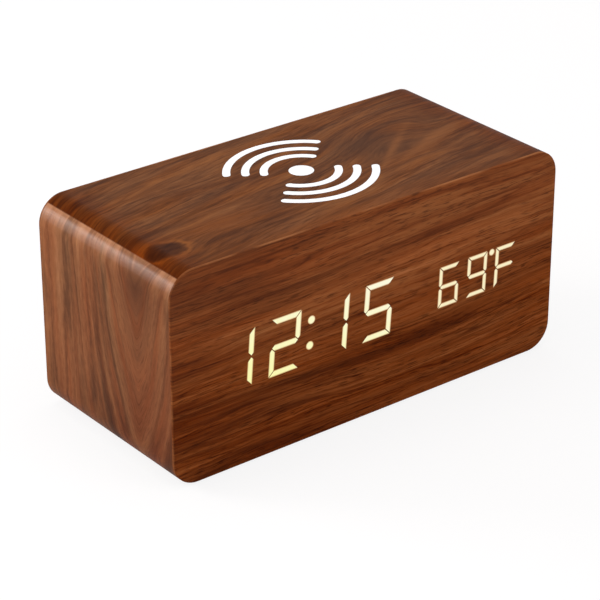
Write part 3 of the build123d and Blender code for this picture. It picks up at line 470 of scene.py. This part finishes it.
def lacquer(t, colour, tone, pores, coat, s):
    t.give("Base Color", colour)
    t.give("Roughness", t.spread(tone, 0.0, 1.0, *s["rough"]))
    t.give("Specular IOR Level", 0.0)
    t.give("Coat Weight", s[coat])
    t.give("Coat Roughness", s["coatRough"])
    t.bump(t.work("SUBTRACT", tone, pores), s["sunk"], s["sunkShare"])
    return t.material


# the sleeve's form, mm
caseForm = {"halfFlat": 66.3, "radius": 8.7, "topEdge": 61.8, "lowEdge": 9.2, "middle": 35.5, "nudge": 0.001}


def unrolled(t, x, z, s):
    # length round the sleeve from the middle of its top: flat part, corner arc, end, lower arc, and the bottom,
    # where it grows back towards the middle; the nudge makes the upper arc count in full for low points
    size = t.work("ABSOLUTE", x)
    low = t.work("LESS_THAN", z, s["middle"])
    flat = t.work("MINIMUM", size, s["halfFlat"])
    under = t.work("MULTIPLY", low, t.work("MULTIPLY", t.work("SUBTRACT", s["halfFlat"], flat), 2.0))
    out = t.work("MAXIMUM", t.work("SUBTRACT", size, s["halfFlat"]), 0.0)
    above = t.work("MAXIMUM", t.work("SUBTRACT", z, s["topEdge"]), 0.0)
    below = t.work("MAXIMUM", t.work("SUBTRACT", s["lowEdge"], z), 0.0)
    upper = t.work("ARCTAN2", t.work("MULTIPLY_ADD", low, s["nudge"], out), above)
    lower = t.work("ARCTAN2", below, out)
    down = t.work("SUBTRACT", s["topEdge"], t.work("MAXIMUM", t.work("MINIMUM", z, s["topEdge"]), s["lowEdge"]))
    arcs = t.work("MULTIPLY", t.work("ADD", upper, lower), s["radius"])
    total = t.work("ADD", t.work("ADD", flat, under), t.work("ADD", arcs, down))
    return t.work("MULTIPLY", total, t.work("SIGN", x))


def panelFinish(name, look):
    # walnut with a mix that grows with height, a painted reflection on the front and an even tint on the back, and a
    # painted highlight along the panel's outer edge, most at the top
    t = finishTree(name)
    x, y, z = t.place()
    colour, tone, pores = walnutColour(t, x, z, look)
    # painted reflection growing with height on the front; on the back the same mix is an even tint
    s = look["paintedReflectionAndTint"]
    colour = t.mixed("MIX", t.spread(z, s["from"], s["to"], 0.0, s["share"]), colour, s["colour"])
    # painted highlight along the panel's outer edge, broken by a noise, strongest at the top
    s = look["paintedEdgeHighlight"]
    edge = t.spread(t.work("ABSOLUTE", y), s["from"], s["to"], 0.0, 1.0)
    edge = t.work("MULTIPLY", edge, t.spread(z, *s["rise"], s["sideShare"], s["topShare"]))
    broken = t.spread(t.drawn(x, z, *s["patch"], look["seed"] + seedStep["paintedEdgeHighlight"], s["detail"]), *s["breaks"])
    colour = t.mixed("MIX", t.work("MULTIPLY", edge, broken), colour, s["colour"])
    return lacquer(t, colour, tone, pores, "panelCoat", lacquerSet)


# the end film starts and stops here, round the sleeve; under its upper seam it carries a painted highlight, pale and
# streaked by its grain, and painted shade darkens it downwards; painted shade turns the top film deep orange towards
# that seam
seamSet = {"from": 72.1, "to": 72.5, "under": 141.0, "paintedHighlightTo": 82.5, "pale": (0.44, 0.205, 0.108), "paintedHighlightShare": 0.55,
           "streaks": (0.32, 0.62, 0.45, 1.25), "paintedLowShadeFrom": 84.0, "paintedLowShadeTo": 138.0, "paintedLowShade": (0.70, 0.58, 0.50),
           "paintedSeamShadeFrom": 59.0, "paintedSeamShadeTo": 72.0, "paintedSeamShade": (0.82, 0.52, 0.18)}


def sleeveFinish(name, look, ends, s):
    t = finishTree(name)
    x, y, z = t.place()
    along = unrolled(t, x, z, caseForm)
    far = t.work("ABSOLUTE", along)
    onEnd = t.work("MULTIPLY", t.spread(far, s["from"], s["to"], 0.0, 1.0), t.work("LESS_THAN", far, s["under"]))
    topColour, topTone = walnutColour(t, along, y, look)[:2]
    # painted shade: the top film turns a darker, deeper orange towards the end seam
    topColour = t.mixed("MULTIPLY", t.spread(far, s["paintedSeamShadeFrom"], s["paintedSeamShadeTo"], 0.0, 1.0), topColour, s["paintedSeamShade"])
    endColour, endTone, endPores = walnutColour(t, along, y, ends)
    # painted shade: the end film grows darker and redder downwards
    endColour = t.mixed("MULTIPLY", t.spread(far, s["paintedLowShadeFrom"], s["paintedLowShadeTo"], 0.0, 1.0), endColour, s["paintedLowShade"])
    # painted highlight: the end film turns pale under its upper seam, streaked by its grain
    paintedHighlight = t.spread(far, s["from"], s["paintedHighlightTo"], 1.0, 0.0)
    paintedHighlight = t.work("MULTIPLY", t.work("MULTIPLY", paintedHighlight, paintedHighlight), s["paintedHighlightShare"])
    streaky = t.spread(endTone, *s["streaks"])
    endColour = t.mixed("MIX", t.work("MULTIPLY", paintedHighlight, streaky), endColour, s["pale"])
    colour = t.mixed("MIX", onEnd, topColour, endColour)
    return lacquer(t, colour, topTone, endPores, "sleeveCoat", lacquerSet)


walnutOf = {"front_panel": panelFinish("walnutFront", frontLook), "rear_panel": panelFinish("walnutBack", backLook),
            "case_sleeve": sleeveFinish("walnutSleeve", topLook, endLook, seamSet)}
print("walnut film made")


# lit digits: yellower low and left, whiter high and right; steep weighs height against width, and the small
# digits, from smallFrom on, are dimmer; a window's glow fades to edge over its outer fade millimetres
litSet = {"low": (0.900, 0.890, 0.378), "high": (0.905, 0.880, 0.650), "strength": 0.95,
          "steep": 2.4, "from": 20.0, "to": 110.0, "lowBase": (0.10, 0.09, 0.06), "highBase": (0.12, 0.11, 0.09),
          "small": (0.870, 0.775, 0.470), "smallFrom": 16.0, "smallShare": 0.85, "fade": 0.42,
          "edge": (0.50, 0.22, 0.035), "cloud": 1.6, "cloudShare": 0.6, "seed": 2.0, "rough": 0.45, "gloss": 0.1}
# where the windows are, as in the solids: digits by their middles, dots by centre and radius, millimetres
windowSet = {"middle": 35.5,
             "digits": [{"places": (-51.25, -33.85, -15.35, 2.05), "width": 11.35, "height": 19.05, "stroke": 2.0,
                         "rise": 0.3, "slant": 4.5},
                        {"places": (30.66, 42.36, 54.06), "width": 8.25, "height": 14.0, "stroke": 1.48,
                         "rise": 0.0, "slant": 2.4}],
             "dots": [(-24.50, 32.3, 1.40), (-23.84, 40.7, 1.40), (48.5, 41.5, 1.15)]}


def insideBars(t, x, z, s, middle):
    # how deep a point lies in a digit's bars: half a stroke less its distance from the bars' middle lines
    up = t.work("SUBTRACT", z, middle + s["rise"])
    upright = t.work("MULTIPLY_ADD", up, -math.tan(math.radians(s["slant"])), x)
    offs = [t.work("ABSOLUTE", t.work("SUBTRACT", upright, place)) for place in s["places"]]
    out = t.fold("MINIMUM", offs)
    high = t.work("ABSOLUTE", up)
    half, top, bar = s["width"] / 2, s["height"] / 2, s["stroke"] / 2
    side = t.work("ABSOLUTE", t.work("SUBTRACT", out, half - bar))
    level = t.work("MINIMUM", high, t.work("ABSOLUTE", t.work("SUBTRACT", high, top - bar)))
    sideBars = t.work("MINIMUM", t.work("SUBTRACT", bar, side), t.work("SUBTRACT", top, high))
    levelBars = t.work("MINIMUM", t.work("SUBTRACT", bar, level), t.work("SUBTRACT", half, out))
    return t.work("MAXIMUM", sideBars, levelBars)


def insideWindows(t, x, z, s):
    # the deepest of the digits and of the dots, where a dot's depth is its radius less the distance from its centre
    depths = [insideBars(t, x, z, digit, s["middle"]) for digit in s["digits"]]
    for dotX, dotZ, radius in s["dots"]:
        across, up = t.work("SUBTRACT", x, dotX), t.work("SUBTRACT", z, dotZ)
        far = t.work("SQRT", t.work("MULTIPLY_ADD", across, across, t.work("MULTIPLY", up, up)))
        depths.append(t.work("SUBTRACT", radius, far))
    return t.fold("MAXIMUM", depths)


def litFinish(s):
    t = finishTree("litWindow")
    x, z = t.place()[::2]
    climb = t.spread(t.work("MULTIPLY_ADD", z, s["steep"], x), s["from"], s["to"], 0.0, 1.0)
    cloudy = t.drawn(x, z, s["cloud"], s["cloud"], s["seed"])
    cloudy = t.work("MULTIPLY", t.swing(cloudy), s["cloudShare"])
    glow = t.mixed("MIX", t.work("ADD", climb, cloudy), s["low"], s["high"])
    small = t.work("MULTIPLY", t.work("GREATER_THAN", x, s["smallFrom"]), s["smallShare"])
    glow = t.mixed("MIX", small, glow, s["small"])
    core = t.spread(insideWindows(t, x, z, windowSet), 0.0, s["fade"], 0.0, 1.0)
    t.give("Emission Color", t.mixed("MIX", core, s["edge"], glow))
    t.give("Base Color", t.mixed("MIX", climb, s["lowBase"], s["highBase"]))
    t.give("Emission Strength", s["strength"])
    t.give("Roughness", s["rough"])
    t.give("Specular IOR Level", s["gloss"])
    return t.material


# every other finish: two tones mixed by a fine and a broad noise, grain and bump in mm
plainSet = {
    "foot_rubber": {"dark": (0.016, 0.016, 0.017), "pale": (0.036, 0.035, 0.034), "rough": (0.72, 0.9),
                    "grain": 0.5, "bump": 0.03},
    "white_plastic": {"dark": (0.72, 0.72, 0.69), "pale": (0.84, 0.84, 0.82), "rough": (0.34, 0.48),
                      "grain": 0.8, "bump": 0.01},
    "black_plastic": {"dark": (0.010, 0.010, 0.011), "pale": (0.025, 0.025, 0.026), "rough": (0.42, 0.58),
                      "grain": 0.22, "bump": 0.03, "gloss": 0.28},
    "button_plastic": {"dark": (0.018, 0.018, 0.019), "pale": (0.036, 0.036, 0.038), "rough": (0.24, 0.36),
                       "grain": 0.5, "bump": 0.008},
    "lamp_resin": {"dark": (0.82, 0.66, 0.20), "pale": (0.92, 0.82, 0.42), "rough": (0.15, 0.3),
                   "grain": 0.6, "bump": 0.005},
    "circuit_board": {"dark": (0.006, 0.085, 0.035), "pale": (0.016, 0.17, 0.07), "rough": (0.3, 0.42),
                      "grain": 1.2, "bump": 0.02},
    "screw_steel": {"dark": (0.46, 0.46, 0.48), "pale": (0.64, 0.64, 0.65), "rough": (0.28, 0.45),
                    "grain": 0.4, "bump": 0.006, "metal": 1.0},
    "can_metal": {"dark": (0.58, 0.57, 0.55), "pale": (0.74, 0.73, 0.71), "rough": (0.24, 0.4),
                  "grain": 0.5, "bump": 0.006, "metal": 1.0},
    "chip_resin": {"dark": (0.010, 0.010, 0.010), "pale": (0.022, 0.022, 0.022), "rough": (0.5, 0.66),
                   "grain": 0.3, "bump": 0.012},
    "coil_copper": {"dark": (0.55, 0.19, 0.065), "pale": (0.76, 0.34, 0.14), "rough": (0.26, 0.4),
                    "grain": 1.0, "bump": 0.01, "metal": 1.0},
    "ferrite_grey": {"dark": (0.045, 0.045, 0.05), "pale": (0.095, 0.095, 0.10), "rough": (0.6, 0.76),
                     "grain": 0.7, "bump": 0.02},
    "capacitor_film": {"dark": (0.40, 0.14, 0.035), "pale": (0.56, 0.23, 0.07), "rough": (0.35, 0.5),
                       "grain": 0.8, "bump": 0.01},
    "lead_insulation": {"dark": (0.30, 0.012, 0.012), "pale": (0.46, 0.028, 0.028), "rough": (0.36, 0.5),
                        "grain": 0.9, "bump": 0.01},
    "ribbon_grey": {"dark": (0.34, 0.34, 0.35), "pale": (0.48, 0.48, 0.48), "rough": (0.45, 0.6),
                    "grain": 1.0, "bump": 0.01},
    "sensor_resin": {"dark": (0.055, 0.042, 0.032), "pale": (0.11, 0.085, 0.065), "rough": (0.4, 0.55),
                     "grain": 0.4, "bump": 0.01},
}
# how their noises mix: size of the broad one in mm, the share of each, and the range of noise that is used
blendSet = {"broad": 14.0, "fineShare": 0.55, "broadShare": 0.45, "low": 0.3, "high": 0.7, "gloss": 0.5,
            "bumpShare": 0.6}


def plainFinish(name, s, blend):
    t = finishTree(name)
    place = t.place()
    fine, broad = t.speckle(place, s["grain"]), t.speckle(place, blend["broad"])
    share = t.work("ADD", t.work("MULTIPLY", fine, blend["fineShare"]),
                   t.work("MULTIPLY", broad, blend["broadShare"]))
    t.give("Base Color", t.ramp(share, [(blend["low"], s["dark"]), (blend["high"], s["pale"])]))
    t.give("Roughness", t.spread(fine, blend["low"], blend["high"], *s["rough"]))
    t.give("Metallic", s.get("metal", 0.0))
    t.give("Specular IOR Level", s.get("gloss", blend["gloss"]))
    t.bump(fine, s["bump"], blend["bumpShare"])
    return t.material


plainOf = {slot: plainFinish(slot, s, blendSet) for slot, s in plainSet.items()}
litWindow = litFinish(litSet)


def dressNodes():
    # the unlit windows carry the film of the front
    for name, node in nodes.items():
        slot = slotOf[name]
        if slot == "walnut_veneer":
            finish = walnutOf[name]
        elif slot == "dark_window":
            finish = walnutOf["front_panel"]
        elif slot == "lit_window":
            finish = litWindow
        else:
            finish = plainOf[slot]
        node.data.materials.clear()
        node.data.materials.append(finish)


dressNodes()
print("finishes set on the nodes")


def newPiece(name, points, faces, finish, body):
    # points in millimetres, an array of rows
    mesh = bpy.data.meshes.new(name)
    mesh.from_pydata((points * mm).tolist(), [], faces)
    mesh.materials.append(finish)
    piece = bpy.data.objects.new(name, mesh)
    scene.collection.objects.link(piece)
    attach(piece, body)
    return piece


def thicken(piece, s):
    # gives a sheet its thickness, inwards from its face
    wall = piece.modifiers.new("thickness", "SOLIDIFY")
    wall.thickness, wall.offset = s["thick"] * mm, -1.0


def gridFaces(rows, columns, start=0, loop=False):
    # quads of a grid of points, row by row; loop closes each row on itself
    wide = columns if loop else columns - 1
    r, c = np.meshgrid(np.arange(rows - 1), np.arange(wide), indexing="ij")
    n = (c + 1) % columns
    quads = np.stack([r * columns + c, r * columns + n, (r + 1) * columns + n, (r + 1) * columns + c], -1)
    return quads.reshape(-1, 4) + start


def polar(ring, angle):
    # flat points from their distance and angle
    return np.stack([ring * np.cos(angle), ring * np.sin(angle)], -1).reshape(-1, 2)


# charging sign: a dot between two sets of three arcs, millimetres and degrees
signSet = {"centre": (0.1, 1.2), "squeeze": 0.957, "turn": 5.1, "radii": (11.77, 17.55, 23.45),
           "spans": (59.8, 56.3, 54.35), "stroke": 2.5, "dot": 4.0, "proud": 0.04, "thick": 0.06,
           "steps": 72, "across": 13, "dotRings": 8, "dotTurns": 64}


def signArc(s, radius, middle, span):
    # radius = r + stroke/2 * s; angle runs over the span, and a half circle of stroke/2 rounds each end
    lengthwise = np.linspace(-1.0, 1.0, s["steps"])[:, None]
    side = np.sin(np.linspace(-1.0, 1.0, s["across"]) * np.pi / 2)[None, :]
    half = s["stroke"] / 2
    reach = math.radians(span) + np.sqrt(1.0 - side ** 2) * half / radius
    return polar(radius + half * side, math.radians(middle) + lengthwise * reach)


def signDot(s):
    # polar grid: rings from the centre to the rim, and a fan of triangles inside the first
    rings, turns = s["dotRings"], s["dotTurns"]
    ring = np.linspace(0.0, 1.0, rings + 1)[1:, None] * s["dot"]
    angle = np.linspace(0.0, 2 * np.pi, turns, endpoint=False)[None, :]
    fan = [(0, 1 + i, 1 + (i + 1) % turns) for i in range(turns)]
    faces = [*fan, *gridFaces(rings, turns, 1, True)[:, ::-1].tolist()]
    return np.vstack([[0.0, 0.0], polar(ring, angle)]), faces


def printSign(s, finish):
    flat, faces = signDot(s)
    count = len(flat)
    sheets = [flat]
    for middle in (90.0 + s["turn"], -90.0 + s["turn"]):
        for radius, span in zip(s["radii"], s["spans"]):
            sheets.append(signArc(s, radius, middle, span))
            faces += gridFaces(s["steps"], s["across"], count).tolist()
            count += len(sheets[-1])
    flat = np.vstack(sheets)
    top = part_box("case_sleeve")[1][2] / mm + s["proud"]
    place = np.stack([s["centre"][0] + flat[:, 0], s["centre"][1] + flat[:, 1] * s["squeeze"],
                      np.full(len(flat), top)], -1)
    thicken(newPiece("chargingSign", place, faces, finish, "case"), s)


# white print: size of its patches in mm, their tones, and how rough they are from low to high noise
printSet = {"patch": 0.7, "detail": 3.0, "tones": [(0.2, (0.86, 0.86, 0.86)), (0.6, (0.95, 0.95, 0.95))],
            "rough": (0.3, 0.7, 0.42, 0.55), "gloss": 0.3, "bump": 0.01, "bumpShare": 0.5}


def printFinish(s):
    t = finishTree("whitePrint")
    patchy = t.speckle(t.place(), s["patch"], s["detail"])
    t.give("Base Color", t.ramp(patchy, s["tones"]))
    t.give("Roughness", t.spread(patchy, *s["rough"]))
    t.give("Specular IOR Level", s["gloss"])
    t.bump(patchy, s["bump"], s["bumpShare"])
    return t.material


whitePrint = printFinish(printSet)
printSign(signSet, whitePrint)
print("charging sign printed")


# marks on the rear buttons: a ring on the first, chevrons on the others, millimetres
markSet = {"ring": 1.35, "reach": 1.7, "rise": 1.5, "stroke": 0.55, "armShare": 0.65, "proud": 0.02, "thick": 0.05,
           "steps": 41, "turns": 48, "across": 3}


def chevronMark(s, way):
    # x = reach * s, z = way * rise * (1/2 - |s|), thickened up and down by armShare of the stroke
    along = np.linspace(-1.0, 1.0, s["steps"])[:, None]
    side = np.linspace(-s["armShare"], s["armShare"], s["across"])[None, :] * s["stroke"]
    flat = np.broadcast_arrays(along * s["reach"], way * s["rise"] * (0.5 - np.abs(along)) + side)
    return np.stack(flat, -1).reshape(-1, 2), gridFaces(s["steps"], s["across"])


def ringMark(s):
    # polar grid: the radius runs over the stroke and the angle goes once round
    radius = s["ring"] + np.linspace(-0.5, 0.5, s["across"])[:, None] * s["stroke"]
    angle = np.linspace(0.0, 2 * np.pi, s["turns"], endpoint=False)[None, :]
    return polar(radius, angle), gridFaces(s["across"], s["turns"], 0, True)


def markButtons(s, finish):
    marks = {"set_button": ("setRing", ringMark(s)), "up_button": ("upChevron", chevronMark(s, 1.0)),
             "down_button": ("downChevron", chevronMark(s, -1.0))}
    for button, (name, (flat, faces)) in marks.items():
        low, high = (np.array(corner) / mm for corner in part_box(button))
        x, z = (low[0] + high[0]) / 2, (low[2] + high[2]) / 2
        place = np.stack([x + flat[:, 0], np.full(len(flat), high[1] + s["proud"]), z + flat[:, 1]], -1)
        thicken(newPiece(name, place, faces.tolist(), finish, button), s)


# plus and minus marks in the battery cradles: height of each cell, and the side of its plus end, millimetres
baySet = {"axis": 24.2, "radius": 5.6, "cells": ((24.1, 1.0), (35.5, -1.0), (46.9, 1.0)), "middle": -28.0, "out": 16.0,
          "arm": 1.7, "half": 0.38, "proud": 0.03, "thick": 0.06, "steps": 9}


def bayBar(s, x, z, halfLong, halfRound, off=0.0):
    # a patch on the cradle: x runs along it, the angle round it
    line = np.linspace(-1.0, 1.0, s["steps"])
    along = (x + line * halfLong)[:, None]
    turn = ((off + line * halfRound) / s["radius"])[None, :]
    ring = s["radius"] - s["proud"]
    patch = np.broadcast_arrays(along, s["axis"] - ring * np.cos(turn), z + ring * np.sin(turn))
    return np.stack(patch, -1).reshape(-1, 3)


def markBay(s, finish):
    arm, half = s["arm"], s["half"]
    bars = []
    for z, way in s["cells"]:
        plus, minus = s["middle"] + way * s["out"], s["middle"] - way * s["out"]
        bars += [bayBar(s, plus, z, arm, half), bayBar(s, minus, z, arm, half)]
        bars += [bayBar(s, plus, z, half, (arm - half) / 2, side * (arm + half) / 2) for side in (-1.0, 1.0)]
    faces = np.vstack([gridFaces(s["steps"], s["steps"], number * s["steps"] ** 2) for number in range(len(bars))])
    thicken(newPiece("polarityMarks", np.vstack(bars), faces.tolist(), finish, "case"), s)


# grip ridges in the thumb hollow of the battery door, millimetres
gripSet = {"middle": -28.0, "half": 3.6, "floor": 33.2, "heights": (48.9, 50.0, 51.1), "radius": 0.3, "tip": 0.998,
           "steps": 25, "turns": 16}


def gripRidge(s, z):
    # a rod along x whose radius falls to a small flat at both tips: radius * (1 - s^6)^(1/2)
    along = np.linspace(-s["tip"], s["tip"], s["steps"])[:, None]
    angle = np.linspace(0.0, 2 * np.pi, s["turns"], endpoint=False)[None, :]
    ring = s["radius"] * np.sqrt(1.0 - along ** 6)
    rod = np.broadcast_arrays(s["middle"] + along * s["half"], s["floor"] + ring * np.cos(angle),
                              z + ring * np.sin(angle))
    return np.stack(rod, -1).reshape(-1, 3)


def gripDoor(s, finish):
    rods, faces = [], []
    for number, z in enumerate(s["heights"]):
        start = number * s["steps"] * s["turns"]
        rods.append(gripRidge(s, z))
        last = start + (s["steps"] - 1) * s["turns"]
        faces += gridFaces(s["steps"], s["turns"], start, True).tolist()
        faces += [list(range(start + s["turns"] - 1, start - 1, -1)), list(range(last, last + s["turns"]))]
    ridges = newPiece("doorGrip", np.vstack(rods), faces, finish, "battery_door")
    ridges.data.shade_smooth()


markButtons(markSet, whitePrint)
markBay(baySet, whitePrint)
gripDoor(gripSet, plainOf["black_plastic"])
print("button marks, polarity marks and door grip made")
